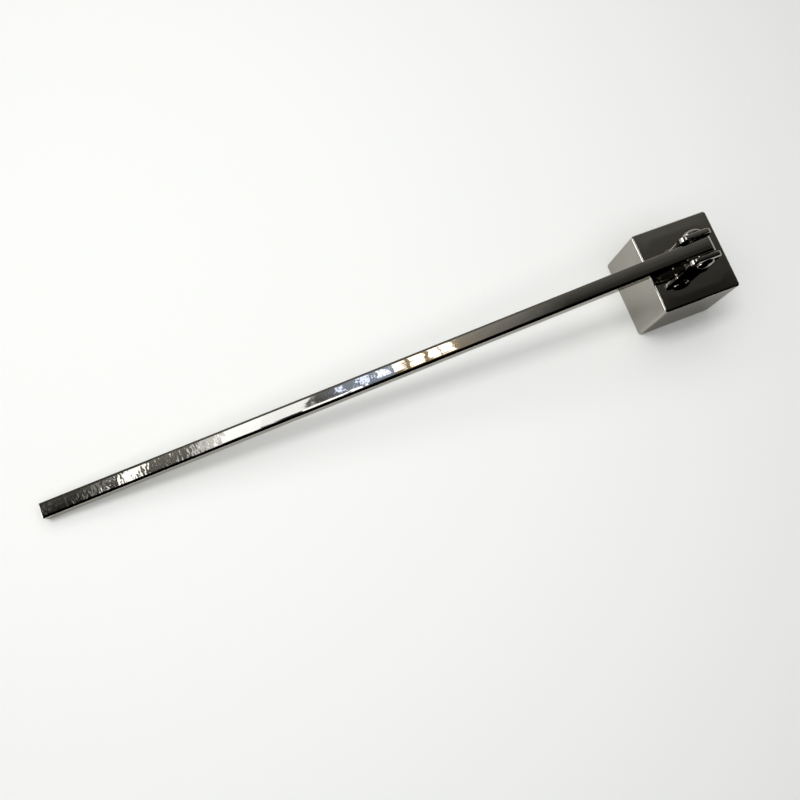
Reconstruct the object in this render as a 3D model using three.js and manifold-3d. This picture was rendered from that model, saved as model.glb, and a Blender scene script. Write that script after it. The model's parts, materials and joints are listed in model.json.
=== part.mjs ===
// A candle snuffer: a square bell that stands on its open mouth, with two ears on its lid,
// and a square bar handle that swings between the ears on a domed rivet.
// Millimetres, +Z up, +X along the handle towards the bell, Y along the rivet.
import * as THREE from 'three';
import { mergeVertices } from 'three/addons/utils/BufferGeometryUtils.js';
import Module from 'manifold-3d';

const wasm = await Module();
wasm.setup();

// Bell: a drawn square box with a closed lid and an open mouth.
const BELL_WIDTH = 27;
const BELL_HEIGHT = 25;
const BELL_WALL = 1.2;
const BELL_LID = 1.4;
const BELL_EDGE = 0.6;
const BELL_INNER_EDGE = 0.6;
const BELL_UPRIGHT_EXTRA = 0.4;

// Handle: a solid square bar with softened edges and a half-round tail behind the rivet.
const BAR_THICKNESS = 5;
const BAR_REACH = 215.5;
const BAR_TAIL = 4.8;
const BAR_END_EDGE = 0.35;
const BAR_LONG_EXTRA = 0.4;

// Pivot: the ears, the rivet through them and the washers beside the bar. An ear's crown is how far
// its top stands above the rivet's middle. Its outer edges are rolled off, over the roll's width along
// its face and the roll's depth into its thickness.
const PIVOT_RISE = 9.3;
const EAR_WIDTH = 10.6;
const EAR_CROWN = 3.6;
const EAR_CORNER = 2.1;
const EAR_THICKNESS = 1.9;
const EAR_ROLL = 1.8;
const EAR_ROLL_DEPTH = 0.6;
const RIVET_DIAMETER = 3;
const RIVET_HEAD_DIAMETER = 6.2;
const RIVET_HEAD_HEIGHT = 1.5;
const SPACER_THICKNESS = 0.4;
const SPACER_RIM = 0.75;

// Clearances: how far apart fitted pieces stay.
const SIDE_PLAY = 0.1;
const BORE_PLAY = 0.1;
const EAR_HOLE_PLAY = 0.05;

// How finely curves are divided.
const ROUND_STEPS = 32;
const CORNER_STEPS = 5;
const EDGE_STEPS = 4;
const DOME_STEPS = 7;

// How far a cutting shape runs past what it cuts, and how close two corner points count as one.
const OVERCUT = 2;
const WELD = 1e-4;

// Dark nickel plating, a little different from piece to piece.
const BELL_COLOUR = 0x6b6762;
const EAR_COLOUR = 0x625e59;
const RIVET_COLOUR = 0x5d5954;
const SPACER_COLOUR = 0x55524e;
const BAR_COLOUR = 0x66625d;
const POLISH_ROUGHNESS = 0.12;

// What follows from the driving dimensions.
const PIVOT_HEIGHT = BELL_HEIGHT + PIVOT_RISE;
const RIVET_RADIUS = RIVET_DIAMETER / 2;
const EAR_INNER_FACE = BAR_THICKNESS / 2 + SPACER_THICKNESS + 2 * SIDE_PLAY;
const EAR_OUTER_FACE = EAR_INNER_FACE + EAR_THICKNESS;
const SPACER_MIDDLE = BAR_THICKNESS / 2 + SIDE_PLAY + SPACER_THICKNESS / 2;
const END_EDGE_ALONG = BAR_REACH - BAR_END_EDGE;
const END_EDGE_ACROSS = BAR_THICKNESS / 2 - BAR_END_EDGE;
const REST_SLOPE = restSlope();

// The slope at which the rounded lower edge of the bar's free end touches the plane of the mouth.
function restSlope() {
  const drop = PIVOT_HEIGHT - BAR_END_EDGE;
  const edgeAngle = Math.atan2(END_EDGE_ACROSS, END_EDGE_ALONG);
  return Math.asin(drop / Math.hypot(END_EDGE_ALONG, END_EDGE_ACROSS)) - edgeAngle;
}

// A closed solid from a geometry whose faces share their corner points.
function solidOf(geometry) {
  const bare = geometry.index ? geometry.toNonIndexed() : geometry.clone();
  bare.deleteAttribute('normal');
  bare.deleteAttribute('uv');
  const merged = mergeVertices(bare, WELD);
  const vertProperties = new Float32Array(merged.attributes.position.array);
  const triVerts = new Uint32Array(merged.index.array);
  return new wasm.Manifold(new wasm.Mesh({ numProp: 3, vertProperties, triVerts }));
}

// The geometry of a solid, ready for a mesh.
function geometryOf(solid) {
  const { vertProperties, triVerts } = solid.getMesh();
  const geometry = new THREE.BufferGeometry();
  geometry.setAttribute('position', new THREE.BufferAttribute(vertProperties, 3));
  geometry.setIndex(new THREE.BufferAttribute(triVerts, 1));
  geometry.computeVertexNormals();
  return geometry;
}

// A square outline, centred, with round corners.
function squareOutline(side, corner) {
  const reach = side / 2 - corner;
  const outline = new THREE.Shape();
  outline.absarc(reach, reach, corner, 0, Math.PI / 2);
  outline.absarc(-reach, reach, corner, Math.PI / 2, Math.PI);
  outline.absarc(-reach, -reach, corner, Math.PI, 1.5 * Math.PI);
  outline.absarc(reach, -reach, corner, 1.5 * Math.PI, 2 * Math.PI);
  outline.closePath();
  return outline;
}

// A square prism from z = bottom to z = top. edge rounds over both its ends, and its long corners
// are rounder than that by extra.
function roundedPrism(side, edge, extra, bottom, top) {
  const geometry = new THREE.ExtrudeGeometry(squareOutline(side, edge + extra), {
    depth: top - bottom - 2 * edge,
    bevelThickness: edge,
    bevelSize: edge,
    bevelOffset: -edge,
    bevelSegments: EDGE_STEPS,
    curveSegments: CORNER_STEPS,
  });
  return geometry.translate(0, 0, bottom + edge);
}

// Everything below the plane of height z, wide enough to trim the bell or an ear.
function spaceBelow(z) {
  const depth = BELL_HEIGHT;
  const block = new THREE.BoxGeometry(2 * BELL_WIDTH, 2 * BELL_WIDTH, depth);
  return solidOf(block.translate(0, 0, z - depth / 2));
}

// A round bar along Y through the origin, for drilling.
function drillAlongY(radius, length) {
  return solidOf(new THREE.CylinderGeometry(radius, radius, length, ROUND_STEPS));
}

// A polished, dark plated metal.
function polishedMetal(color) {
  return new THREE.MeshStandardMaterial({ color, roughness: POLISH_ROUGHNESS, metalness: 1 });
}

// Makes a named mesh.
function pieceOf(name, geometry, color) {
  const mesh = new THREE.Mesh(geometry, polishedMetal(color));
  mesh.name = name;
  return mesh;
}

// The bell: a box with rounded upright corners and a rounded lid, hollowed from its mouth at z = 0.
function bellShell() {
  const outside = roundedPrism(
    BELL_WIDTH,
    BELL_EDGE,
    BELL_UPRIGHT_EXTRA,
    -BELL_EDGE - OVERCUT,
    BELL_HEIGHT,
  );
  const inside = roundedPrism(
    BELL_WIDTH - 2 * BELL_WALL,
    BELL_INNER_EDGE,
    BELL_UPRIGHT_EXTRA,
    -BELL_INNER_EDGE - OVERCUT,
    BELL_HEIGHT - BELL_LID,
  );
  const shell = solidOf(outside).subtract(spaceBelow(0)).subtract(solidOf(inside));
  return pieceOf('bell_shell', geometryOf(shell), BELL_COLOUR);
}

// An ear: a tab with a flat top, round corners and rolled outer edges, drilled for the rivet, its foot
// flat on the lid. It is the outer half of a tab twice as thick, rolled on both faces.
// side is -1 for the front ear and +1 for the back ear.
function ear(name, side) {
  const half = EAR_WIDTH / 2;
  const cornerHeight = PIVOT_RISE + EAR_CROWN - EAR_CORNER;
  const outline = new THREE.Shape();
  outline.moveTo(-half, -OVERCUT);
  outline.lineTo(half, -OVERCUT);
  outline.absarc(half - EAR_CORNER, cornerHeight, EAR_CORNER, 0, Math.PI / 2);
  outline.absarc(EAR_CORNER - half, cornerHeight, EAR_CORNER, Math.PI / 2, Math.PI);
  outline.closePath();
  const tab = new THREE.ExtrudeGeometry(outline, {
    depth: 2 * (EAR_THICKNESS - EAR_ROLL_DEPTH),
    bevelThickness: EAR_ROLL_DEPTH,
    bevelSize: EAR_ROLL,
    bevelOffset: -EAR_ROLL,
    bevelSegments: EDGE_STEPS,
    curveSegments: ROUND_STEPS / 4,
  });
  tab.translate(0, 0, EAR_ROLL_DEPTH - EAR_THICKNESS);
  tab.rotateX(Math.PI / 2);
  const drill = drillAlongY(RIVET_RADIUS + EAR_HOLE_PLAY, 2 * EAR_THICKNESS + OVERCUT);
  const hole = drill.translate(0, 0, PIVOT_RISE);
  const outerHalf = solidOf(tab).trimByPlane([0, side, 0], 0);
  const solid = outerHalf.subtract(spaceBelow(0)).subtract(hole);
  const mesh = pieceOf(name, geometryOf(solid), EAR_COLOUR);
  mesh.position.set(0, side * EAR_INNER_FACE, BELL_HEIGHT);
  return mesh;
}

// The rivet: a shank along Y with a head seated on the outer face of each ear, domed as half an ellipse.
function pivotRivet() {
  const headRadius = RIVET_HEAD_DIAMETER / 2;
  const half = [new THREE.Vector2(RIVET_RADIUS, EAR_OUTER_FACE)];
  for (let step = 0; step < DOME_STEPS; step += 1) {
    const angle = ((Math.PI / 2) * step) / DOME_STEPS;
    const rise = RIVET_HEAD_HEIGHT * Math.sin(angle);
    half.push(new THREE.Vector2(headRadius * Math.cos(angle), EAR_OUTER_FACE + rise));
  }
  half.push(new THREE.Vector2(0, EAR_OUTER_FACE + RIVET_HEAD_HEIGHT));
  const mirrored = half.map((point) => new THREE.Vector2(point.x, -point.y)).reverse();
  const rivet = solidOf(new THREE.LatheGeometry([...mirrored, ...half], ROUND_STEPS));
  const mesh = pieceOf('pivot_rivet', geometryOf(rivet), RIVET_COLOUR);
  mesh.position.z = PIVOT_HEIGHT;
  return mesh;
}

// A thin washer on the rivet, between the bar and one ear.
function spacer(name, side) {
  const inner = RIVET_RADIUS + BORE_PLAY;
  const outer = inner + SPACER_RIM;
  const half = SPACER_THICKNESS / 2;
  const section = [
    new THREE.Vector2(inner, -half),
    new THREE.Vector2(outer, -half),
    new THREE.Vector2(outer, half),
    new THREE.Vector2(inner, half),
    new THREE.Vector2(inner, -half),
  ];
  const ring = solidOf(new THREE.LatheGeometry(section, ROUND_STEPS));
  const mesh = pieceOf(name, geometryOf(ring), SPACER_COLOUR);
  mesh.position.set(0, side * SPACER_MIDDLE, PIVOT_HEIGHT);
  return mesh;
}

// What is cut off the bar to leave a half-round tail: a block less a round as thick as the bar.
function tailTrim() {
  const radius = BAR_THICKNESS / 2;
  const span = BAR_THICKNESS + OVERCUT;
  const block = new THREE.BoxGeometry(radius + OVERCUT, span, span);
  block.translate(BAR_TAIL + (OVERCUT - radius) / 2, 0, 0);
  const round = drillAlongY(radius, span + OVERCUT).translate(BAR_TAIL - radius, 0, 0);
  return solidOf(block).subtract(round);
}

// The handle: a square bar along X with its rivet hole at the origin, sloping down to its free end.
function handle() {
  const bar = roundedPrism(BAR_THICKNESS, BAR_END_EDGE, BAR_LONG_EXTRA, -BAR_REACH, BAR_TAIL);
  bar.rotateY(Math.PI / 2);
  const hole = drillAlongY(RIVET_RADIUS + BORE_PLAY, BAR_THICKNESS + OVERCUT);
  const drilled = solidOf(bar).subtract(tailTrim()).subtract(hole);
  const group = new THREE.Group();
  group.add(pieceOf('handle_bar', geometryOf(drilled), BAR_COLOUR));
  group.position.z = PIVOT_HEIGHT;
  group.rotation.y = -REST_SLOPE;
  return group;
}

// The whole snuffer, with the middle of its length over the origin.
function snuffer() {
  const edgeReach = END_EDGE_ALONG * Math.cos(REST_SLOPE) + END_EDGE_ACROSS * Math.sin(REST_SLOPE);
  const freeEnd = -edgeReach - BAR_END_EDGE;
  const group = new THREE.Group();
  group.add(bellShell());
  group.add(ear('front_ear', -1), ear('back_ear', 1));
  group.add(pivotRivet());
  group.add(spacer('front_spacer', -1), spacer('back_spacer', 1));
  group.add(handle());
  group.position.x = -(freeEnd + BELL_WIDTH / 2) / 2;
  return group;
}

export default snuffer();
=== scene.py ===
"""Looks of a hinged candle snuffer in polished dark nickel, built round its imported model.

A square bell stands on its open mouth. Two ears on its lid hold a domed rivet, and a long square bar
swings on that rivet until its free end lies on the floor. Every surface is worked out on a grid of two
parameters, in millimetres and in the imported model's own frame, and becomes metres only when its mesh is
made.
"""

import json
import logging
import math
from dataclasses import dataclass
from enum import Enum
from typing import Any

import bmesh
import bpy
import numpy as np
from mathutils import Matrix, Vector
from numpy.typing import NDArray


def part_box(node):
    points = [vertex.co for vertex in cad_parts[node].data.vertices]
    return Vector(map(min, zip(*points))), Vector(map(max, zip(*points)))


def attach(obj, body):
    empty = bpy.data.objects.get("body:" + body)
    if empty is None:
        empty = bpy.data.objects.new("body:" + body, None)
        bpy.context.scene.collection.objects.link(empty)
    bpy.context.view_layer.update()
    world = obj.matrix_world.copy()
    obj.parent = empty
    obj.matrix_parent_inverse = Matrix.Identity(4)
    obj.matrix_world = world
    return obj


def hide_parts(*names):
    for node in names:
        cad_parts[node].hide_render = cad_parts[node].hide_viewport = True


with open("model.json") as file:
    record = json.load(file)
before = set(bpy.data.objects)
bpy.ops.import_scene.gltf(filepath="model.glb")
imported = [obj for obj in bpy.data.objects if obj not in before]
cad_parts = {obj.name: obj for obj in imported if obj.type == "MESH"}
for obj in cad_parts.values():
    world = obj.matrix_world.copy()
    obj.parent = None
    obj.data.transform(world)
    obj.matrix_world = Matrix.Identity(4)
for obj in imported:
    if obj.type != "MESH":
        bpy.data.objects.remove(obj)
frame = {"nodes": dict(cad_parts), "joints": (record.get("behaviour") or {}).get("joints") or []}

Grid = NDArray[np.float64]

LOG = logging.getLogger("candle_snuffer")
MM = 0.001
EDGE_ATTRIBUTE = "edge"
CALM_ATTRIBUTE = "calm"
CHATTER_ATTRIBUTE = "chatter"
BELL_BODY = "bell"
BAR_BODY = "handle"
QUARTER = math.pi / 2.0
# The share of a cap at which it already lies flat beside its rounded edge.
CAP_HOLD = 0.995


class RowEnds(Enum):
    """How the first and last rows of a grid are closed."""

    POLES = "each end row is one point"
    RING = "the last row joins the first"


class Side(Enum):
    """Which side of the bar a pivot piece stands on."""

    FRONT = -1.0
    BACK = 1.0


def linear(colour: str) -> tuple[float, float, float, float]:
    """Turns a colour from sRGB to linear light.

    Args:
        colour: sRGB hex value such as "#AABBCC".

    Returns:
        Linear red, green, blue and an alpha of 1.
    """
    shares = [int(colour[i : i + 2], 16) / 255.0 for i in (1, 3, 5)]
    red, green, blue = (s / 12.92 if s <= 0.04045 else ((s + 0.055) / 1.055) ** 2.4 for s in shares)
    return red, green, blue, 1.0


def per_metre(size: float) -> float:
    """Gives the texture scale at which one feature is size millimetres wide."""
    return 1.0 / (size * MM)


def add_node(
    tree: bpy.types.NodeTree,
    kind: str,
    inputs: dict[str | int, Any] | None = None,
    **settings: Any,
) -> bpy.types.Node:
    """Adds a shader node with its settings, input values and links.

    Args:
        tree: The node tree that gets the node.
        kind: Blender's type name, without its leading "ShaderNode".
        inputs: For an input's name or number, a value to set or a socket to link.
        settings: Attributes of the node itself.

    Returns:
        The new node.
    """
    node = tree.nodes.new("ShaderNode" + kind)
    for name, value in settings.items():
        setattr(node, name, value)
    for name, value in (inputs or {}).items():
        if isinstance(value, bpy.types.NodeSocket):
            tree.links.new(value, node.inputs[name])
        else:
            node.inputs[name].default_value = value
    return node


def fresh_material(name: str) -> bpy.types.Material:
    """Makes a node material that holds no nodes yet.

    Args:
        name: The material's name.

    Returns:
        The new material.
    """
    material = bpy.data.materials.new(name)
    material.use_nodes = True
    material.node_tree.nodes.clear()
    return material


def grid_object(
    name: str,
    grid: Grid,
    ends: RowEnds,
    edge: Grid,
    materials: list[bpy.types.Material],
    row_material: NDArray[np.int32] | None = None,
    marks: dict[str, Grid] | None = None,
) -> bpy.types.Object:
    """Makes a closed object from a grid of points whose columns always run round.

    Neighbouring rows and columns are joined by four-sided faces. Points that meet, such as the columns of
    a pole, are merged, and the faces are turned outwards.

    Args:
        name: The piece's name.
        grid: Points in millimetres, shaped rows by columns by 3.
        ends: How the rows are closed.
        edge: For each grid point, how far it is worn as an edge, from 0 to 1.
        materials: The piece's materials.
        row_material: For each band of faces, the number of its material, or all 0.
        marks: For the name of another attribute, its value in each row.

    Returns:
        The object, at the origin, with its place in its mesh.
    """
    rows, columns = grid.shape[:2]
    index = np.arange(rows * columns).reshape(rows, columns)
    if ends is RowEnds.RING:
        index = np.vstack([index, index[:1]])
    beside = np.roll(index, -1, axis=1)
    quads = np.stack([index[:-1], beside[:-1], beside[1:], index[1:]], axis=-1)
    mesh = bpy.data.meshes.new(name)
    mesh.from_pydata((grid.reshape(-1, 3) * MM).tolist(), [], quads.reshape(-1, 4).tolist())
    worn = mesh.attributes.new(EDGE_ATTRIBUTE, "FLOAT", "POINT")
    worn.data.foreach_set("value", edge.ravel())
    for mark, values in (marks or {}).items():
        marked = mesh.attributes.new(mark, "FLOAT", "POINT")
        marked.data.foreach_set("value", np.repeat(values, columns))
    if row_material is not None:
        mesh.polygons.foreach_set("material_index", np.repeat(row_material, columns))
    for material in materials:
        mesh.materials.append(material)
    close_mesh(mesh)
    made = bpy.data.objects.new(name, mesh)
    bpy.context.scene.collection.objects.link(made)
    return made


def close_mesh(mesh: bpy.types.Mesh) -> None:
    """Merges points that meet, turns faces outwards and shades all but true corners smooth.

    Args:
        mesh: The mesh to change.
    """
    merge_distance = 0.0005 * MM
    corner_angle = math.radians(40.0)
    work = bmesh.new()
    work.from_mesh(mesh)
    bmesh.ops.remove_doubles(work, verts=work.verts, dist=merge_distance)
    bmesh.ops.recalc_face_normals(work, faces=work.faces)
    work.to_mesh(mesh)
    work.free()
    mesh.polygons.foreach_set("use_smooth", np.ones(len(mesh.polygons), dtype=bool))
    mesh.set_sharp_from_angle(angle=corner_angle)


def cut_away(made: bpy.types.Object, cutter: bpy.types.Object) -> None:
    """Cuts one closed object out of another for good, and removes the cutter.

    Args:
        made: The piece that is cut.
        cutter: The shape that is taken away.
    """
    cut = made.modifiers.new("bore", "BOOLEAN")
    cut.operation = "DIFFERENCE"
    cut.solver = "EXACT"
    cut.object = cutter
    bpy.context.view_layer.update()
    whole = made.data
    evaluated = made.evaluated_get(bpy.context.evaluated_depsgraph_get())
    made.data = bpy.data.meshes.new_from_object(evaluated)
    made.data.name = whole.name
    made.modifiers.clear()
    bpy.data.objects.remove(cutter)
    bpy.data.meshes.remove(whole)


@dataclass(frozen=True)
class DarkNickel:
    """Dark nickel plate on a brass or steel blank, buffed to a mirror.

    To the eye it is a black mirror with a faint warm cast. Buffing leaves a fine peel and slower ripples
    that make mirrored lamps break up and swim, hairlines along the wheel's run, chatter marks across it
    where the wheel has jumped, smudges that dull it in clouds, and paler edges where it has thinned the
    plate. Sizes and depths are in millimetres.
    """

    name: str
    plate: str = "#B4B2AD"
    stained: str = "#ACA79F"
    worn: str = "#C2BFB8"
    # A thin dark plate mirrors less than bare metal where it is seen along its surface.
    grazing: str = "#B2B0AC"
    roughness: float = 0.03
    smudged_roughness: float = 0.09
    smudge_size: float = 7.0
    smudge_detail: float = 5.0
    smudge_gain: float = 0.6
    smudge_from: float = 0.45
    smudge_to: float = 0.75
    peel_size: float = 0.5
    peel_depth: float = 0.006
    peel_stretch: float = 2.0
    chatter_size: float = 2.0
    chatter_depth: float = 0.03
    chatter_stretch: float = 0.6
    chatter_roughness: float = 0.03
    ripple_size: float = 4.5
    ripple_depth: float = 0.030
    ripple_stretch: float = 1.0
    # Real hairlines are about 0.02 mm apart. They are drawn coarser, or they would not show.
    hairline_size: float = 0.25
    hairline_stretch: float = 60.0
    hairline_depth: float = 0.0006
    grain_detail: float = 1.0
    # How steeply the wheel's run rises along +X, in radians.
    slope: float = 0.0

    def material(self) -> bpy.types.Material:
        """Builds the plate's material.

        Returns:
            The new material.
        """
        material = fresh_material(self.name)
        tree = material.node_tree
        place = add_node(tree, "TexCoord").outputs["Object"]
        smudges = add_node(
            tree,
            "TexNoise",
            {
                "Vector": place,
                "Scale": per_metre(self.smudge_size),
                "Detail": self.smudge_detail,
                "Roughness": self.smudge_gain,
            },
        ).outputs["Fac"]
        peel = self.drawn_noise(tree, place, self.peel_size, self.peel_stretch)
        ripple = self.drawn_noise(tree, place, self.ripple_size, self.ripple_stretch)
        hairlines = self.drawn_noise(tree, place, self.hairline_size, self.hairline_stretch)
        chatter = self.drawn_noise(tree, place, self.chatter_size, self.chatter_stretch)
        jumps = add_node(tree, "Attribute", attribute_name=CHATTER_ATTRIBUTE).outputs["Fac"]
        calm = add_node(tree, "Attribute", attribute_name=CALM_ATTRIBUTE).outputs["Fac"]
        peel_share = add_node(tree, "Math", {0: 1.0, 1: calm}, operation="SUBTRACT").outputs["Value"]
        smudged = add_node(
            tree,
            "MapRange",
            {
                "Value": smudges,
                "From Min": self.smudge_from,
                "From Max": self.smudge_to,
                "To Min": self.roughness,
                "To Max": self.smudged_roughness,
            },
        ).outputs["Result"]
        roughness = add_node(
            tree, "Math", {0: jumps, 1: self.chatter_roughness, 2: smudged}, operation="MULTIPLY_ADD"
        ).outputs["Value"]
        edge = add_node(tree, "Attribute", attribute_name=EDGE_ATTRIBUTE).outputs["Fac"]
        tint = add_node(
            tree,
            "Mix",
            {"Factor": smudges, 6: linear(self.plate), 7: linear(self.stained)},
            data_type="RGBA",
        ).outputs[2]
        colour = add_node(
            tree, "Mix", {"Factor": edge, 6: tint, 7: linear(self.worn)}, data_type="RGBA"
        ).outputs[2]
        layers = (
            (1.0, self.ripple_depth, ripple),
            (peel_share, self.peel_depth, peel),
            (jumps, self.chatter_depth, chatter),
            (1.0, self.hairline_depth, hairlines),
        )
        relief: dict[str | int, Any] = {}
        for strength, depth, height in layers:
            layer = {"Strength": strength, "Distance": depth * MM, "Height": height}
            relief = {"Normal": add_node(tree, "Bump", layer | relief).outputs["Normal"]}
        shader = add_node(
            tree,
            "BsdfPrincipled",
            {
                "Base Color": colour,
                "Metallic": 1.0,
                "Roughness": roughness,
                "Specular Tint": linear(self.grazing),
            }
            | relief,
        )
        add_node(tree, "OutputMaterial", {"Surface": shader.outputs["BSDF"]})
        return material

    def drawn_noise(
        self, tree: bpy.types.NodeTree, place: bpy.types.NodeSocket, size: float, stretch: float
    ) -> bpy.types.NodeSocket:
        """Adds a noise that the buffing wheel has drawn out along its run.

        Args:
            tree: The node tree that gets the noise.
            place: The place in the object.
            size: Width of one grain in millimetres.
            stretch: How many times longer than wide a grain is.

        Returns:
            The noise, from 0 to 1.
        """
        drawn = add_node(
            tree,
            "Mapping",
            {
                "Vector": place,
                "Rotation": (0.0, -self.slope, 0.0),
                "Scale": (stretch, 1.0, 1.0),
            },
            vector_type="TEXTURE",
        ).outputs["Vector"]
        return add_node(
            tree, "TexNoise", {"Vector": drawn, "Scale": per_metre(size), "Detail": self.grain_detail}
        ).outputs["Fac"]


@dataclass(frozen=True)
class SquareRing:
    """Columns of a rounded square, which the bell and the bar carry along their profiles.

    A column holds a corner share S and a round share D. On a square of half-width a with corner radius r,
    its point is (a - r) S + r D. On a corner S stays at a corner of the unit square while D turns through
    a quarter. On a side D stays while S runs straight to the next corner.
    """

    corner_steps: int = 12
    side_steps: int = 8
    # The share of a side at which it already lies flat beside a corner.
    hold: float = 0.01

    def columns(self) -> tuple[Grid, Grid, Grid, Grid]:
        """Lays out the columns of all four quarters.

        Returns:
            The corner shares, the round shares, how near each column is to a corner as a squared share of
            the half side, and how far it is worn as a corner.
        """
        turn = np.linspace(0.0, QUARTER, self.corner_steps + 1)
        inner = np.linspace(0.0, 1.0, self.side_steps + 1)[1:-1]
        along = 1.0 - 2.0 * np.concatenate([[self.hold], inner, [1.0 - self.hold]])
        on_corner = np.ones_like(turn)
        on_side = np.ones_like(along)
        corner = np.stack(
            [np.concatenate([on_corner, along]), np.concatenate([on_corner, on_side])],
            axis=1,
        )
        round_share = np.stack(
            [np.concatenate([np.cos(turn), 0.0 * along]), np.concatenate([np.sin(turn), on_side])],
            axis=1,
        )
        nearness = np.concatenate([on_corner, along**2])
        worn = np.concatenate([np.sin(2.0 * turn), 0.0 * along])
        quarter_turn = np.array([[0.0, -1.0], [1.0, 0.0]])
        turns = np.stack([np.linalg.matrix_power(quarter_turn, k) for k in range(4)])
        corners = np.einsum("kij,nj->kni", turns, corner).reshape(-1, 2)
        rounds = np.einsum("kij,nj->kni", turns, round_share).reshape(-1, 2)
        return corners, rounds, np.tile(nearness, 4), np.tile(worn, 4)

    def sweep(
        self, half: Grid, radius: Grid, along: Grid, crown: float = 0.0, spread: float = 1.0
    ) -> Grid:
        """Carries the rounded square along a profile.

        Each row is the point (a - r) S + (r - c q) D of every column, at its own place along the sweep.
        The crown c lowers a column by its nearness q to a corner, so that the sides bulge a little.

        Args:
            half: Half-width of the square in each row.
            radius: Corner radius in each row, upward.
            along: Place of each row along the sweep.
            crown: How far the middle of a side stands above its corners.
            spread: How many times further a corner reaches sideways than upward.

        Returns:
            Points shaped rows by columns by 3: across, across, along.
        """
        corners, rounds, nearness, _ = self.columns()
        drop = crown * half[:, None] / half.max() * nearness
        reach = (radius[:, None] * np.array([spread, 1.0]))[:, None, :]
        flat = (half[:, None, None] - reach) * corners + (reach - drop[..., None]) * rounds
        lifted = np.broadcast_to(along[:, None, None], (*flat.shape[:2], 1))
        return np.concatenate([flat, lifted], axis=-1)


def capped_rows(half: float, radius: float, edge: float, cap_steps: int, edge_steps: int) -> Grid:
    """Gives the rows of a square's closed end, from the middle of the cap over its rounded edge.

    The cap's rows grow from a point to the cap's full size. The edge's rows follow a quarter circle: at
    the angle t they stand in by e (1 - sin t) and lie e (1 - cos t) below the cap.

    Args:
        half: Half-width of the square below the edge.
        radius: Corner radius of the square below the edge.
        edge: Radius of the rounded edge.
        cap_steps: Number of bands on the cap.
        edge_steps: Number of bands on the edge.

    Returns:
        Four rows of numbers: half-width, corner radius, depth below the cap, and wear.
    """
    grow = np.append(np.linspace(0.0, 1.0, cap_steps + 1)[:-1], CAP_HOLD)
    turn = np.linspace(0.0, QUARTER, edge_steps + 1)
    inset = edge * (1.0 - np.sin(turn))
    halves = np.concatenate([grow * (half - edge), half - inset])
    radii = np.concatenate([grow * (radius - edge), radius - inset])
    depths = np.concatenate([0.0 * grow, edge * (1.0 - np.cos(turn))])
    worn = np.concatenate([0.0 * grow, np.sin(2.0 * turn)])
    return np.stack([halves, radii, depths, worn])


def turned(radius: Grid, along: Grid, steps: int, centre: Grid) -> Grid:
    """Turns a profile about a line along Y.

    The point at angle t is r cos t along X and r sin t along Z from the line, at its own place along Y.

    Args:
        radius: Distance of each row from the line.
        along: Place of each row along the line.
        steps: Number of columns.
        centre: A point of the line.

    Returns:
        Points shaped rows by columns by 3.
    """
    angle = np.linspace(0.0, 2.0 * math.pi, steps, endpoint=False)
    across = radius[:, None] * np.cos(angle)
    upward = radius[:, None] * np.sin(angle)
    sideways = np.broadcast_to(along[:, None], across.shape)
    return np.stack([across, sideways, upward], axis=-1) + centre


def node_box(node: str) -> tuple[Grid, Grid]:
    """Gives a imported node's lowest and highest corners in millimetres."""
    low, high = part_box(node)
    return np.array(low) / MM, np.array(high) / MM


def pivot_point() -> Grid:
    """Gives the middle of the rivet in millimetres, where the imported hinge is."""
    return np.array(frame["joints"][0]["pos_m"]) / MM


def place_piece(made: bpy.types.Object, node: str, body: str) -> None:
    """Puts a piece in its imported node's stead, on that node's body.

    Args:
        made: The piece.
        node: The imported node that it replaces.
        body: The body that carries it.
    """
    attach(made, body)
    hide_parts(node)
    LOG.info("%s: %d faces, for %s on %s", made.name, len(made.data.polygons), node, body)


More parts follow.
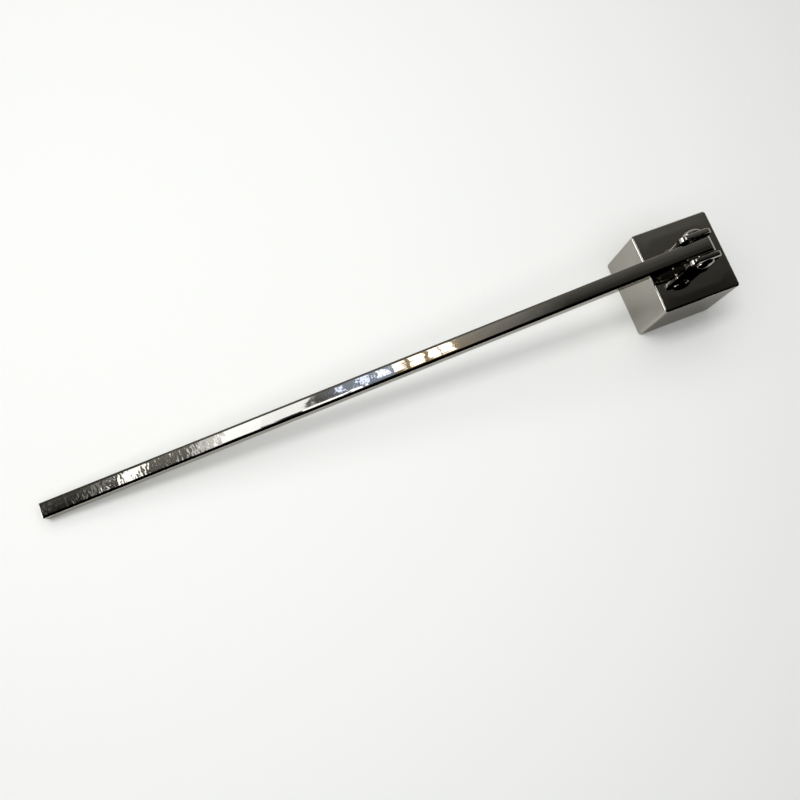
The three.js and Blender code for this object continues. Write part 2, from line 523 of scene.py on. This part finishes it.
@dataclass
class Bell:
    """The square bell: a drawn box with a rounded lid and an open mouth."""

    wall: float = 1.2
    lid: float = 1.4
    edge: float = 0.6
    corner: float = 1.0
    inner_edge: float = 0.6
    inner_corner: float = 1.0
    rim_edge: float = 0.3
    # Buffing has tipped a band of the lid along its edges: its width, its slope, the radius of its inner
    # corners and the softness of its bend.
    band: float = 3.4
    band_slope: float = 0.033
    band_corner: float = 3.0
    band_bend: float = 0.35
    # How far from a rounded edge a wall's straight rows start, and how pale the upright corners are worn.
    lead: float = 0.1
    corner_wear: float = 0.6
    lid_steps: int = 40
    edge_steps: int = 14
    wall_steps: int = 10
    inner_steps: int = 6
    ring: SquareRing = SquareRing(corner_steps=14, side_steps=40, hold=0.006)

    def build(self) -> bpy.types.Object:
        """Builds the bell as one closed skin, down its outside and up its inside.

        The profile runs from the middle of the lid over its edge, down the wall, round the rim, up the
        inner wall and to the middle of the inner lid.

        Returns:
            The bell.
        """
        low, high = node_box("bell_shell")
        middle = (low + high) / 2.0
        half = (high[0] - low[0]) / 2.0
        height = high[2]
        inner_half = half - self.wall
        ceiling = height - self.lid
        steps = self.inner_steps
        top = capped_rows(half, self.corner, self.edge, self.lid_steps, self.edge_steps)
        under = capped_rows(inner_half, self.inner_corner, self.inner_edge, steps, steps)[:, ::-1]
        rim_turn = np.linspace(0.0, QUARTER, steps)
        rim_in = self.rim_edge * (1.0 - np.cos(rim_turn))
        rim_up = self.rim_edge * (1.0 - np.sin(rim_turn))
        lowest = self.rim_edge + self.lead
        wall_z = np.linspace(height - self.edge - self.lead, lowest, self.wall_steps)
        inner_z = np.linspace(lowest, ceiling - self.inner_edge - self.lead, steps)
        outer = np.ones_like(wall_z)
        inner = np.ones_like(inner_z)
        halves = np.concatenate(
            [top[0], half * outer, half - rim_in, inner_half + rim_in[::-1], inner_half * inner, under[0]]
        )
        radii = np.concatenate(
            [
                top[1],
                self.corner * outer,
                self.corner - rim_in,
                self.inner_corner + rim_in[::-1],
                self.inner_corner * inner,
                under[1],
            ]
        )
        heights = np.concatenate(
            [height - top[2], wall_z, rim_up, rim_up[::-1], inner_z, ceiling - under[2]]
        )
        grid = self.ring.sweep(halves, radii, heights)
        share = np.clip((heights - (height - self.edge)) / self.edge, 0.0, 1.0)
        share[top.shape[1] :] = 0.0
        grid[..., 2] -= self.lid_fall(grid, half) * share[:, None]
        grid[..., :2] += middle[:2]
        rim_worn = np.sin(2.0 * rim_turn)
        row_worn = np.concatenate(
            [top[3], 0.0 * wall_z, rim_worn, rim_worn, 0.0 * inner_z, 0.0 * under[3]]
        )
        first_inside = top.shape[1] + wall_z.size + 2 * rim_turn.size - 1
        row = np.arange(halves.size)
        on_wall = (row >= top.shape[1]) & (row <= first_inside)
        worn = np.maximum(row_worn[:, None], self.corner_wear * on_wall[:, None] * self.ring.columns()[3])
        inside = (row[:-1] >= first_inside).astype(np.int32)
        made = grid_object("square_bell", grid, RowEnds.POLES, worn, self.dress(), inside)
        place_piece(made, "bell_shell", BELL_BODY)
        return made

    def lid_fall(self, grid: Grid, half: float) -> Grid:
        """Works out how far the lid sinks in the band along its edges.

        Outside a rounded square the distance d to it grows from 0. A point sinks by the slope times
        (d + sqrt(d^2 + b^2)) / 2, which bends from level to sloping within about the bend b.

        Args:
            grid: Points about the bell's middle.
            half: Half the bell's width.

        Returns:
            The fall at each point.
        """
        past = np.abs(grid[..., :2]) - (half - self.band - self.band_corner)
        outside = np.linalg.norm(np.maximum(past, 0.0), axis=-1)
        distance = outside + np.minimum(past.max(axis=-1), 0.0) - self.band_corner
        return self.band_slope * (distance + np.sqrt(distance**2 + self.band_bend**2)) / 2.0

    def dress(self) -> list[bpy.types.Material]:
        """Gives the bell's finishes.

        Returns:
            The outer mirror plate and the duller inside.
        """
        outside = DarkNickel("dark_nickel_buffed_bell", peel_depth=0.002, ripple_depth=0.012)
        inside = DarkNickel("dark_nickel_unbuffed_inside", roughness=0.22, smudged_roughness=0.4)
        return [outside.material(), inside.material()]


@dataclass
class Ear:
    """A tab on the lid with round corners and rolled edges, drilled for the rivet, its foot soldered."""

    side: Side
    roll: float = 1.8
    roll_depth: float = 0.6
    inner_edge: float = 0.3
    corner: float = 2.1
    hole_radius: float = 1.55
    solder: float = 0.5
    face_steps: int = 12
    roll_steps: int = 14
    side_steps: int = 16
    corner_steps: int = 17
    flat_steps: int = 14

    def build(self, material: bpy.types.Material) -> bpy.types.Object:
        """Builds the ear as a closed ring of rows: hole, outer face, roll, side, inner edge, inner face.

        A face row runs straight from the hole to the roll or the inner edge. A row of the roll at the
        angle t stands in from the outline by its width times (1 - sin t) and lies its depth times
        (1 - cos t) below the face, and the inner edge is such a roll with one radius. Towards the foot
        the tab swells by s (1 - g/s)^2 at the height g below s.

        Args:
            material: The ear's finish.

        Returns:
            The ear.
        """
        node = "front_ear" if self.side is Side.FRONT else "back_ear"
        low, high = node_box(node)
        pivot = pivot_point()
        width = (high[0] - low[0]) / 2.0
        half = (high[1] - low[1]) / 2.0
        rise = pivot[2] - low[2]
        outline, outward = self.outline(width, rise, high[2] - pivot[2])
        hole = self.hole_radius * outline / np.linalg.norm(outline, axis=1, keepdims=True)
        shares = 1.0 - (1.0 - np.linspace(0.0, 1.0, self.face_steps)) ** 2
        turn = np.linspace(0.0, QUARTER, self.roll_steps)[1:]
        inset = 1.0 - np.sin(turn)
        fall = 1.0 - np.cos(turn)
        outer_face = hole + shares[:, None, None] * (outline - self.roll * outward - hole)
        rolled = outline - self.roll * inset[:, None, None] * outward
        softened = outline - self.inner_edge * inset[:, None, None] * outward
        inner_face = hole + shares[:, None, None] * (outline - self.inner_edge * outward - hole)
        flat = np.concatenate([outer_face, rolled, softened[::-1], inner_face[::-1]])
        level = np.full(shares.size, half)
        outer_depth = np.concatenate([level, half - self.roll_depth * fall])
        inner_depth = np.concatenate([level, half - self.inner_edge * fall])
        sideways = self.side.value * np.concatenate([outer_depth, -inner_depth[::-1]])
        above = flat[..., 1] + rise
        swell = self.solder * np.clip(1.0 - above / self.solder, 0.0, 1.0) ** 2
        grid = np.stack(
            [
                flat[..., 0] * (1.0 + swell / width),
                sideways[:, None] * (1.0 + swell / half),
                flat[..., 1],
            ],
            axis=-1,
        )
        grid += np.array([pivot[0], (low[1] + high[1]) / 2.0, pivot[2]])
        row_worn = np.concatenate([0.0 * shares, np.sin(2.0 * turn)])
        row_worn = np.concatenate([row_worn, row_worn[::-1]])
        worn = np.broadcast_to(row_worn[:, None], flat.shape[:2])
        name = "near_ear" if self.side is Side.FRONT else "far_ear"
        made = grid_object(name, grid, RowEnds.RING, worn, [material])
        place_piece(made, node, BELL_BODY)
        return made

    def outline(self, width: float, rise: float, crown: float) -> tuple[Grid, Grid]:
        """Lays out the tab's outline round the rivet hole.

        It runs up the right side, round a corner, along the top, round a corner, down the left side and
        along the foot. A corner's point is its middle plus its radius in the outward direction. Side
        points crowd towards the foot, where the solder swells.

        Args:
            width: Half the tab's width.
            rise: Height of the hole above the foot.
            crown: Height of the top above the hole.

        Returns:
            Points and outward directions, each shaped columns by 2. Along the foot the directions stay
            level and pass from one side's to the other's.
        """
        corner_x = width - self.corner
        corner_z = crown - self.corner
        climb = np.linspace(0.0, 1.0, self.side_steps)[1:-1]
        side = corner_z - (corner_z + rise) * (1.0 - climb**2)
        turn = np.linspace(0.0, QUARTER, self.corner_steps)
        top = np.linspace(corner_x, -corner_x, self.flat_steps)[1:-1]
        foot = np.linspace(-width, width, self.flat_steps)
        around = np.concatenate([turn, turn + QUARTER])
        middles = np.repeat([corner_x, -corner_x], turn.size)
        arc_x = middles + self.corner * np.cos(around)
        arc_z = corner_z + self.corner * np.sin(around)
        arcs = np.stack([arc_x, arc_z, np.cos(around), np.sin(around)], axis=1)
        right = np.stack([np.full(side.size, width), side, np.ones(side.size), 0.0 * side], axis=1)
        left = right[::-1] * np.array([-1.0, 1.0, -1.0, 1.0])
        flat = np.stack([top, np.full(top.size, crown), 0.0 * top, np.ones(top.size)], axis=1)
        base = np.stack([foot, np.full(foot.size, -rise), foot / width, 0.0 * foot], axis=1)
        whole = np.concatenate([right, arcs[: turn.size], flat, arcs[turn.size :], left, base])
        return whole[:, :2], whole[:, 2:]


@dataclass
class Pivot:
    """The rivet through both ears, and the two washers that keep the ears off the bar."""

    shank_radius: float = 1.5
    washer_bore: float = 1.6
    washer_edge: float = 0.12
    steps: int = 72
    dome_steps: int = 24
    washer_steps: int = 5

    def build_rivet(self, material: bpy.types.Material) -> bpy.types.Object:
        """Builds the rivet by turning a profile: domed head, seat, shank, seat, domed head.

        A head is half an ellipse: at the angle t its surface lies R sin t from the axis and H cos t above
        its seat.

        Args:
            material: The rivet's finish.

        Returns:
            The rivet.
        """
        low, high = node_box("pivot_rivet")
        pivot = pivot_point()
        seat = node_box("back_ear")[1][1]
        head = (high[0] - low[0]) / 2.0
        turn = np.linspace(0.0, QUARTER, self.dome_steps)
        radius = np.append(head * np.sin(turn), self.shank_radius)
        along = np.append(seat + (high[1] - seat) * np.cos(turn), seat)
        radius = np.concatenate([radius, radius[::-1]])
        along = np.concatenate([along, -along[::-1]])
        grid = turned(radius, along, self.steps, pivot)
        made = grid_object("domed_rivet", grid, RowEnds.POLES, np.zeros(grid.shape[:2]), [material])
        place_piece(made, "pivot_rivet", BELL_BODY)
        return made

    def build_washer(self, side: Side, material: bpy.types.Material) -> bpy.types.Object:
        """Builds a washer by turning a rectangle with four rounded corners.

        Args:
            side: The side of the bar that it is on.
            material: The washer's finish.

        Returns:
            The washer.
        """
        node = "front_spacer" if side is Side.FRONT else "back_spacer"
        low, high = node_box(node)
        outer = (high[0] - low[0]) / 2.0
        half = np.array([(outer - self.washer_bore) / 2.0, (high[1] - low[1]) / 2.0]) - self.washer_edge
        turn = np.linspace(0.0, QUARTER, self.washer_steps)
        angle = (turn + np.arange(4)[:, None] * QUARTER).ravel()
        signs = np.repeat(np.array([[1, 1], [-1, 1], [-1, -1], [1, -1]]), turn.size, axis=0)
        section = signs * half + self.washer_edge * np.stack([np.cos(angle), np.sin(angle)], axis=1)
        middle = pivot_point()
        middle[1] = (low[1] + high[1]) / 2.0
        grid = turned(section[:, 0] + (outer + self.washer_bore) / 2.0, section[:, 1], self.steps, middle)
        name = "near_washer" if side is Side.FRONT else "far_washer"
        made = grid_object(name, grid, RowEnds.RING, np.zeros(grid.shape[:2]), [material])
        place_piece(made, node, BELL_BODY)
        return made


@dataclass
class Bar:
    """The handle: a square bar with softened edges and a half-round tail, drilled for the rivet."""

    end_edge: float = 0.35
    # Buffing has rolled the long edges further in over the top than down the sides.
    corner: float = 0.4
    corner_spread: float = 2.5
    crown: float = 0.035
    bore: float = 1.6
    # Places along the bar from the rivet, and there how calm the peel is and how strong the chatter.
    marks: tuple[tuple[float, float, float], ...] = (
        (-216.0, 0.6, 1.0),
        (-197.0, 0.6, 0.9),
        (-190.0, 0.6, 0.3),
        (-182.0, 0.6, 0.3),
        (-176.0, 0.3, 0.9),
        (-168.0, 0.3, 0.8),
        (-151.0, 0.7, 0.0),
        (-121.0, 0.85, 0.0),
        (-116.0, 0.0, 0.0),
        (-106.0, 0.0, 0.0),
        (-102.0, 0.82, 0.0),
        (5.0, 0.97, 0.0),
    )
    # How far the straight rows keep from the tail, and how far the drill reaches past the sides.
    lead: float = 0.1
    drill_past: float = 1.0
    cap_steps: int = 4
    edge_steps: int = 8
    length_steps: int = 60
    tail_steps: int = 24
    bore_steps: int = 64
    ring: SquareRing = SquareRing(corner_steps=10, side_steps=6, hold=0.02)

    def build(self) -> bpy.types.Object:
        """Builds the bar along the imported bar's longest direction and drills it.

        The rounded square runs from a cap to the tail, where at the angle t its height is cos t of the
        bar's and it lies half a thickness times sin t along. A point lies at the pivot, plus its place
        along the bar's direction, plus its places across along Y and along the bar's own upward direction.

        Returns:
            The bar.
        """
        node = frame["nodes"]["handle_bar"]
        points = np.array([vertex.co for vertex in node.data.vertices], dtype=float) / MM
        pivot = pivot_point()
        forward = np.linalg.svd(points - points.mean(axis=0), full_matrices=False)[2][0]
        forward = forward * np.sign(forward[0])
        sideways = np.array([0.0, 1.0, 0.0])
        upward = np.cross(forward, sideways)
        along = (points - pivot) @ forward
        half = np.abs(points[:, 1] - pivot[1]).max()
        start = capped_rows(half, self.corner, self.end_edge, self.cap_steps, self.edge_steps)
        tail = along.max() - half
        turn = np.linspace(0.0, QUARTER, self.tail_steps)
        length = np.linspace(along.min() + 2.0 * self.end_edge, tail - self.lead, self.length_steps)
        straight = np.ones(length.size + turn.size)
        halves = np.concatenate([start[0], half * straight])
        radii = np.concatenate([start[1], self.corner * straight])
        places = np.concatenate([along.min() + start[2], length, tail + half * np.sin(turn)])
        swept = self.ring.sweep(halves, radii, places, self.crown, self.corner_spread)
        swept[-turn.size :, :, 1] *= np.cos(turn)[:, None]
        grid = pivot + swept @ np.stack([sideways, upward, forward])
        row_worn = np.concatenate([start[3], 0.0 * straight])
        along_sides = np.arange(halves.size) >= start.shape[1]
        worn = np.maximum(row_worn[:, None], along_sides[:, None] * self.ring.columns()[3])
        slope = math.atan2(forward[2], forward[0])
        mark_places, calm_shares, chatter_shares = np.array(self.marks).T
        marks = {
            CALM_ATTRIBUTE: np.interp(places, mark_places, calm_shares),
            CHATTER_ATTRIBUTE: np.interp(places, mark_places, chatter_shares),
        }
        made = grid_object("square_bar", grid, RowEnds.POLES, worn, self.dress(slope), marks=marks)
        reach = half + self.drill_past
        drill_radius = np.array([0.0, self.bore, self.bore, 0.0])
        drill = turned(drill_radius, np.array([-reach, -reach, reach, reach]), self.bore_steps, pivot)
        cutter = grid_object("bore_cutter", drill, RowEnds.POLES, np.zeros(drill.shape[:2]), [])
        cut_away(made, cutter)
        place_piece(made, "handle_bar", BAR_BODY)
        return made

    def dress(self, slope: float) -> list[bpy.types.Material]:
        """Gives the bar's plate, with hairlines that follow its slope.

        Args:
            slope: How steeply the bar rises along +X, in radians.

        Returns:
            The one finish.
        """
        finish = DarkNickel(
            "dark_nickel_buffed_bar",
            grazing="#DAD8D4",
            roughness=0.02,
            smudged_roughness=0.06,
            peel_size=0.9,
            peel_depth=0.011,
            ripple_size=2.5,
            ripple_depth=0.022,
            ripple_stretch=3.0,
            hairline_size=0.9,
            hairline_stretch=40.0,
            hairline_depth=0.010,
            slope=slope,
        )
        return [finish.material()]


@dataclass(frozen=True)
class Lamp:
    """A flat lamp that faces straight down, with its middle and size in millimetres."""

    name: str
    x: float
    y: float
    width: float
    depth: float
    watts: float
    tint: str = "#FFFFFF"
    height: float = 3000.0
    mirrored: bool = True

    def build(self) -> bpy.types.Object:
        """Hangs the lamp.

        Returns:
            The lamp.
        """
        data = bpy.data.lights.new(self.name, "AREA")
        data.shape = "RECTANGLE"
        data.size = self.width * MM
        data.size_y = self.depth * MM
        data.energy = self.watts
        data.color = linear(self.tint)[:3]
        made = bpy.data.objects.new(self.name, data)
        made.location = Vector((self.x, self.y, self.height)) * MM
        made.visible_camera = False
        made.visible_glossy = self.mirrored
        bpy.context.scene.collection.objects.link(made)
        return made


@dataclass
class Studio:
    """A pale floor under a bank of lamps in a dark room with a pale surround, with sizes in millimetres."""

    # The first two light the object and the floor. The bar mirrors the others, from its free end onwards.
    lamps: tuple[Lamp, ...] = (
        Lamp("key", -350.0, 245.0, 600.0, 280.0, 4.8, height=1300.0, mirrored=False),
        Lamp("softbox", -60.0, 60.0, 520.0, 520.0, 1.15, height=320.0, mirrored=False),
        Lamp("lamp_past_end", -1890.0, 640.0, 70.0, 750.0, 0.045),
        Lamp("lamp_far_left", -1570.0, 640.0, 60.0, 750.0, 0.055),
        Lamp("lamp_left", -1433.0, 640.0, 84.0, 750.0, 0.51),
        Lamp("lamp_middle_fade", -1118.0, 640.0, 104.0, 1000.0, 0.32, "#FAFCFF"),
        Lamp("lamp_middle", -975.0, 735.0, 182.0, 810.0, 1.04, "#F6FAFF"),
        Lamp("lamp_middle_dim", -789.0, 757.0, 190.0, 766.0, 0.92, "#F6FAFF"),
        Lamp("lamp_front", -600.0, 385.0, 240.0, 130.0, 0.25),
        Lamp("lamp_cool_1", -565.0, 725.0, 28.0, 300.0, 0.063, "#D8E4FF"),
        Lamp("lamp_cool_2", -473.0, 725.0, 29.0, 525.0, 0.108, "#D8E4FF"),
        Lamp("lamp_cool_3", -398.0, 725.0, 34.0, 525.0, 0.150, "#E4ECFF"),
        Lamp("lamp_right_1", -331.0, 730.0, 48.0, 690.0, 0.394, "#FFFAF2"),
        Lamp("lamp_right_2", -263.0, 730.0, 38.0, 690.0, 0.311, "#FFFAF2"),
        Lamp("lamp_right_3", -199.0, 730.0, 35.0, 690.0, 0.285, "#FFFAF2"),
        Lamp("lamp_right_4", -145.0, 730.0, 51.0, 690.0, 0.418, "#FFFAF2"),
    )
    floor_size: float = 8000.0
    floor_drop: float = 0.02
    floor_colour: str = "#F1F2EF"
    # From the first distance to the second, the floor passes into the surround.
    floor_fade: tuple[float, float] = (200.0, 420.0)
    surround: str = "#F1F1EF"
    fill: float = 0.22
    # Mirrors see the floor painted black in front of the object: a painted shade in their reflections that
    # stands for the dark room in front, while the floor itself is lit there. Right of a line on the floor
    # the painted shade starts further out. The line crosses the X axis at dark_side and slants.
    dark_from: float = 20.0
    dark_from_right: float = 140.0
    dark_length: float = 20.0
    dark_side: float = 104.0
    dark_side_soft: float = 4.0
    dark_slant: float = 0.45
    # The mirrored room changes between two values of a ray's direction: in Y from front to back, in Z
    # from level to overhead, in X from right to left, or in X per Z.
    ceiling: str = "#6A6964"
    ceiling_back: tuple[float, float] = (-0.08, 0.28)
    ceiling_power: float = 2.2
    ceiling_left: tuple[float, float] = (-0.62, -0.42)
    ceiling_left_share: float = 0.35
    low_down: tuple[float, float] = (0.08, -0.02)
    not_in_front: tuple[float, float] = (-0.35, -0.05)
    wall_strength: float = 6.0
    wall_left: tuple[float, float] = (-0.6, -0.85)
    wall_top: tuple[float, float] = (0.55, 0.3)
    glow_strength: float = 1.1
    glow_rise: tuple[float, float] = (0.06, 0.125)
    glow_fade: tuple[float, float] = (0.55, 0.3)
    # How far left (-) or right of overhead a place on the ceiling is, per unit of height, and its glow.
    glow_span: tuple[float, float] = (-0.60, 0.12)
    glow_stops: tuple[tuple[float, str], ...] = (
        (-0.60, "#1C1C1C"),
        (-0.50, "#1C1C1C"),
        (-0.43, "#5C5A56"),
        (-0.36, "#787672"),
        (-0.225, "#34373B"),
        (-0.195, "#5C626A"),
        (-0.175, "#8E9CB4"),
        (-0.122, "#A8B6D0"),
        (-0.112, "#A98E60"),
        (-0.05, "#A98E60"),
        (-0.035, "#A1998C"),
        (-0.01, "#8E8B86"),
        (0.03, "#737270"),
        (0.085, "#000000"),
    )

    def build(self) -> None:
        """Lays the floor, hangs the lamps and sets the room."""
        half = self.floor_size / 2.0 * MM
        drop = self.floor_drop * MM
        mesh = bpy.data.meshes.new("floor")
        corners = [(-half, -half, -drop), (half, -half, -drop), (half, half, -drop), (-half, half, -drop)]
        mesh.from_pydata(corners, [], [(0, 1, 2, 3)])
        mesh.materials.append(self.paper())
        floor = bpy.data.objects.new("floor", mesh)
        bpy.context.scene.collection.objects.link(floor)
        for lamp in self.lamps:
            lamp.build()
        self.room()

    def paper(self) -> bpy.types.Material:
        """Builds the floor's matt white paper, to the eye even and without gloss.

        Far off it passes into the pale surround. Mirrored, it is painted black in front of the object, past
        a line that jumps further out on the right: a painted shade that only mirrors see.

        Returns:
            The paper's material.
        """
        material = fresh_material("matt_white_paper")
        tree = material.node_tree
        place = add_node(tree, "TexCoord").outputs["Object"]
        distance = add_node(tree, "VectorMath", {0: place}, operation="LENGTH").outputs["Value"]
        near, away = self.floor_fade
        far = add_node(
            tree,
            "MapRange",
            {"Value": distance, "From Min": near * MM, "From Max": away * MM},
            interpolation_type="SMOOTHSTEP",
        ).outputs["Result"]
        seen = self.seen_ray(tree)
        share = add_node(tree, "Math", {0: far, 1: seen}, operation="MULTIPLY").outputs["Value"]
        matt = add_node(tree, "BsdfDiffuse", {"Color": linear(self.floor_colour)}).outputs["BSDF"]
        pale = add_node(tree, "Emission", {"Color": linear(self.surround)}).outputs["Emission"]
        lit = add_node(tree, "MixShader", {0: share, 1: matt, 2: pale}).outputs["Shader"]
        # Painted shade: from here on, rays from a mirror see the floor black in front of the object, though
        # the floor there is lit.
        across = add_node(
            tree, "VectorMath", {0: place, 1: (1.0, self.dark_slant, 0.0)}, operation="DOT_PRODUCT"
        ).outputs["Value"]
        start = add_node(
            tree,
            "MapRange",
            {
                "Value": across,
                "From Min": (self.dark_side - self.dark_side_soft) * MM,
                "From Max": (self.dark_side + self.dark_side_soft) * MM,
                "To Min": -self.dark_from * MM,
                "To Max": -self.dark_from_right * MM,
            },
            interpolation_type="SMOOTHSTEP",
        ).outputs["Result"]
        depth = add_node(tree, "SeparateXYZ", {0: place}).outputs["Y"]
        past = add_node(tree, "Math", {0: start, 1: depth}, operation="SUBTRACT").outputs["Value"]
        dark = add_node(
            tree,
            "MapRange",
            {"Value": past, "From Min": 0.0, "From Max": self.dark_length * MM},
            interpolation_type="SMOOTHSTEP",
        ).outputs["Result"]
        glossy = add_node(tree, "LightPath").outputs["Is Glossy Ray"]
        painted_shade_share = add_node(tree, "Math", {0: dark, 1: glossy}, operation="MULTIPLY").outputs["Value"]
        black = add_node(tree, "Emission", {"Strength": 0.0}).outputs["Emission"]
        mixed = add_node(tree, "MixShader", {0: painted_shade_share, 1: lit, 2: black}).outputs["Shader"]
        add_node(tree, "OutputMaterial", {"Surface": mixed})
        return material

    def seen_ray(self, tree: bpy.types.NodeTree) -> bpy.types.NodeSocket:
        """Gives 1 for rays that the camera or a mirror sees, and 0 for rays that only bring light.

        Args:
            tree: The node tree that asks.

        Returns:
            The output socket.
        """
        path = add_node(tree, "LightPath").outputs
        mirrored = add_node(
            tree, "Math", {0: path["Is Glossy Ray"], 1: path["Is Transmission Ray"]}, operation="MAXIMUM"
        ).outputs["Value"]
        return add_node(
            tree, "Math", {0: path["Is Camera Ray"], 1: mirrored}, operation="MAXIMUM"
        ).outputs["Value"]

    def room(self) -> None:
        """Sets the room: pale low down and on the left, a dark ceiling with a glow near the lamps, a fill.

        Seen in a mirror, the ceiling brightens from black in front to grey at the back, as a power of the
        way between them. The glow depends on how far left or right of overhead the mirror looks.
        """
        world = bpy.data.worlds.new("studio_room")
        world.use_nodes = True
        tree = world.node_tree
        tree.nodes.clear()
        way = add_node(tree, "TexCoord").outputs["Generated"]
        parts = add_node(tree, "SeparateXYZ", {0: way}).outputs
        across = add_node(
            tree, "Math", {0: parts["X"], 1: parts["Z"]}, operation="DIVIDE"
        ).outputs["Value"]
        spans = (
            (parts["Y"], self.ceiling_back, 0.0, "LINEAR"),
            (across, self.ceiling_left, self.ceiling_left_share, "LINEAR"),
            (across, self.glow_span, 0.0, "LINEAR"),
            (parts["Y"], self.glow_rise, 0.0, "SMOOTHSTEP"),
            (parts["Y"], self.glow_fade, 0.0, "SMOOTHSTEP"),
            (parts["Z"], self.low_down, 0.0, "SMOOTHSTEP"),
            (parts["Y"], self.not_in_front, 0.0, "LINEAR"),
            (parts["X"], self.wall_left, 0.0, "LINEAR"),
            (parts["Z"], self.wall_top, 0.0, "LINEAR"),
        )
        backward, nearer, stop, rise, fade, low, behind, leftward, below = (
            add_node(
                tree,
                "MapRange",
                {"Value": value, "From Min": start, "From Max": end, "To Min": least},
                interpolation_type=blend,
            ).outputs["Result"]
            for value, (start, end), least, blend in spans
        )
        depth = add_node(
            tree, "Math", {0: backward, 1: self.ceiling_power}, operation="POWER"
        ).outputs["Value"]
        grey, window, horizon, sideways = (
            add_node(tree, "Math", {0: one, 1: other}, operation="MULTIPLY").outputs["Value"]
            for one, other in ((depth, nearer), (rise, fade), (low, behind), (leftward, below))
        )
        dark = add_node(
            tree, "Mix", {"Factor": grey, 6: linear("#000000"), 7: linear(self.ceiling)}, data_type="RGBA"
        ).outputs[2]
        glow = add_node(tree, "ValToRGB", {"Fac": stop})
        left, right = self.glow_span
        elements = glow.color_ramp.elements
        elements.remove(elements[1])
        elements[0].color = linear(self.glow_stops[0][1])
        for place, colour in self.glow_stops[1:]:
            elements.new((place - left) / (right - left)).color = linear(colour)
        gain, wall = (
            add_node(tree, "Math", {0: one, 1: other}, operation="MULTIPLY").outputs["Value"]
            for one, other in ((window, self.glow_strength), (sideways, behind))
        )
        lit = add_node(
            tree, "VectorMath", {0: glow.outputs["Color"], 1: gain, 2: dark}, operation="MULTIPLY_ADD"
        ).outputs["Vector"]
        walled = add_node(
            tree, "VectorMath", {0: wall, 1: (self.wall_strength,) * 3, 2: lit}, operation="MULTIPLY_ADD"
        ).outputs["Vector"]
        pale = linear(self.surround)
        mirrored = add_node(
            tree, "Mix", {"Factor": horizon, 6: walled, 7: pale}, data_type="RGBA"
        ).outputs[2]
        camera = add_node(tree, "LightPath").outputs["Is Camera Ray"]
        shown = add_node(
            tree, "Mix", {"Factor": camera, 6: mirrored, 7: pale}, data_type="RGBA"
        ).outputs[2]
        room = add_node(tree, "Background", {"Color": shown}).outputs["Background"]
        fill = add_node(tree, "Background", {"Color": linear("#FFFFFF"), "Strength": self.fill})
        mixed = add_node(
            tree, "MixShader", {0: self.seen_ray(tree), 1: fill.outputs["Background"], 2: room}
        ).outputs["Shader"]
        add_node(tree, "OutputWorld", {"Surface": mixed})
        bpy.context.scene.world = world


@dataclass
class Viewpoint:
    """The camera: above and in front of the bar, leaning over it, with places in millimetres."""

    place: tuple[float, float, float] = (-48.922, -56.739, 291.326)
    aim: tuple[float, float, float] = (1.781, -5.606, 0.0)
    roll: float = 22.102
    lens: float = 41.480
    sensor: float = 36.0
    nearest: float = 10.0

    def build(self) -> bpy.types.Object:
        """Sets the camera up and makes it the scene's.

        Returns:
            The camera.
        """
        data = bpy.data.cameras.new("viewpoint")
        data.lens = self.lens
        data.sensor_width = self.sensor
        data.clip_start = self.nearest * MM
        place = np.array(self.place)
        forward = np.array(self.aim) - place
        forward /= np.linalg.norm(forward)
        level = np.cross(forward, [0.0, 1.0, 0.0])
        level /= np.linalg.norm(level)
        upright = np.cross(level, forward)
        turn = math.radians(self.roll)
        up = math.cos(turn) * upright + math.sin(turn) * level
        right = np.cross(forward, up)
        rotation = Matrix(np.stack([right, up, -forward], axis=1).tolist())
        made = bpy.data.objects.new("viewpoint", data)
        made.matrix_world = Matrix.Translation(Vector(place * MM)) @ rotation.to_4x4()
        bpy.context.scene.collection.objects.link(made)
        bpy.context.scene.camera = made
        return made


def main() -> None:
    """Builds the snuffer's pieces and its studio in order, and reports each piece."""
    logging.basicConfig(level=logging.INFO, format="%(message)s")
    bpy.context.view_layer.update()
    bpy.context.scene.view_settings.view_transform = "Standard"
    Viewpoint().build()
    Studio().build()
    Bell().build()
    ear_plate = DarkNickel("dark_nickel_buffed_ears", peel_depth=0.002, ripple_depth=0.012).material()
    Ear(Side.FRONT).build(ear_plate)
    Ear(Side.BACK).build(ear_plate)
    rivet_plate = DarkNickel("dark_nickel_hammered_rivet", peel_depth=0.006, ripple_depth=0.012).material()
    pivot = Pivot()
    pivot.build_rivet(rivet_plate)
    washer_steel = DarkNickel("plain_steel_washers", plate="#4C4A47", stained="#45423F", roughness=0.3)
    washer_finish = washer_steel.material()
    pivot.build_washer(Side.FRONT, washer_finish)
    pivot.build_washer(Side.BACK, washer_finish)
    Bar().build()


if __name__ == "__main__":
    main()
